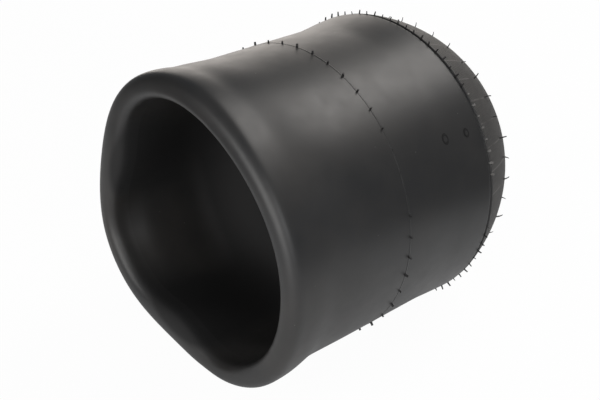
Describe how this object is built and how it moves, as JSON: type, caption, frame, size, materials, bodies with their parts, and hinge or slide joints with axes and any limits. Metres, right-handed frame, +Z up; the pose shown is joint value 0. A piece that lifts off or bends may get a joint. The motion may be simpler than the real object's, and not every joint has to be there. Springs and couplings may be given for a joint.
{
  "type": "rolling lobe air bellows",
  "caption": "Rubber rolling-lobe air bellows sleeve with steel-cored beads; the lobe rolls as the lower bead travels, for linear lifting or suspension.",
  "frame": {"origin": "centre of the bottom of the bounding box, on the floor under the sleeve lying on its side", "axes": "+Y along the bellows axis from the open mouth towards the upper bead, +Z up, +X to the side; the axis lies 138.63 mm above the origin"},
  "size_m": [0.2946, 0.336, 0.2859],
  "materials": {
    "cover_rubber": "satin black moulded rubber",
    "cord_ply": "rubberised cord fabric, dull",
    "liner_rubber": "dull black rubber",
    "bead_wire": "bronze-coated steel wire",
    "filler_rubber": "hard dull rubber",
    "bead_chafer": "rubberised woven strip, dull black"
  },
  "bodies": {
    "upper_body": {"outer_cover_dome": "cover_rubber", "outer_cover_wall": "cover_rubber", "cord_ply_1_dome": "cord_ply", "cord_ply_1_wall": "cord_ply", "cord_ply_2_dome": "cord_ply", "cord_ply_2_wall": "cord_ply", "inner_liner_dome": "liner_rubber", "inner_liner_wall": "liner_rubber", "upper_bead_core": "bead_wire", "upper_bead_filler": "filler_rubber", "upper_bead_chafer": "bead_chafer"},
    "lobe_body": {"outer_cover_lobe": "cover_rubber", "outer_cover_leg": "cover_rubber", "cord_ply_1_lobe": "cord_ply", "cord_ply_1_leg": "cord_ply", "cord_ply_2_lobe": "cord_ply", "cord_ply_2_leg": "cord_ply", "inner_liner_lobe": "liner_rubber", "inner_liner_leg": "liner_rubber"},
    "lower_body": {"lower_bead_core": "bead_wire", "lower_bead_filler": "filler_rubber", "lower_bead_chafer": "bead_chafer"}
  },
  "joints": [
    {"name": "lobe_roll", "type": "slide", "parent": "upper_body", "child": "lobe_body", "axis": [0, 1, 0], "range_m": [-0.08, 0.07], "deforming": ["outer_cover_wall", "cord_ply_1_wall", "cord_ply_2_wall", "inner_liner_wall"]},
    {"name": "lower_bead_travel", "type": "slide", "parent": "lobe_body", "child": "lower_body", "axis": [0, 1, 0], "range_m": [-0.08, 0.07], "deforming": ["outer_cover_leg", "cord_ply_1_leg", "cord_ply_2_leg", "inner_liner_leg"]}
  ],
  "couplings": [
    {"joint": "lower_bead_travel", "follows": "lobe_roll", "ratio": 1}
  ]
}
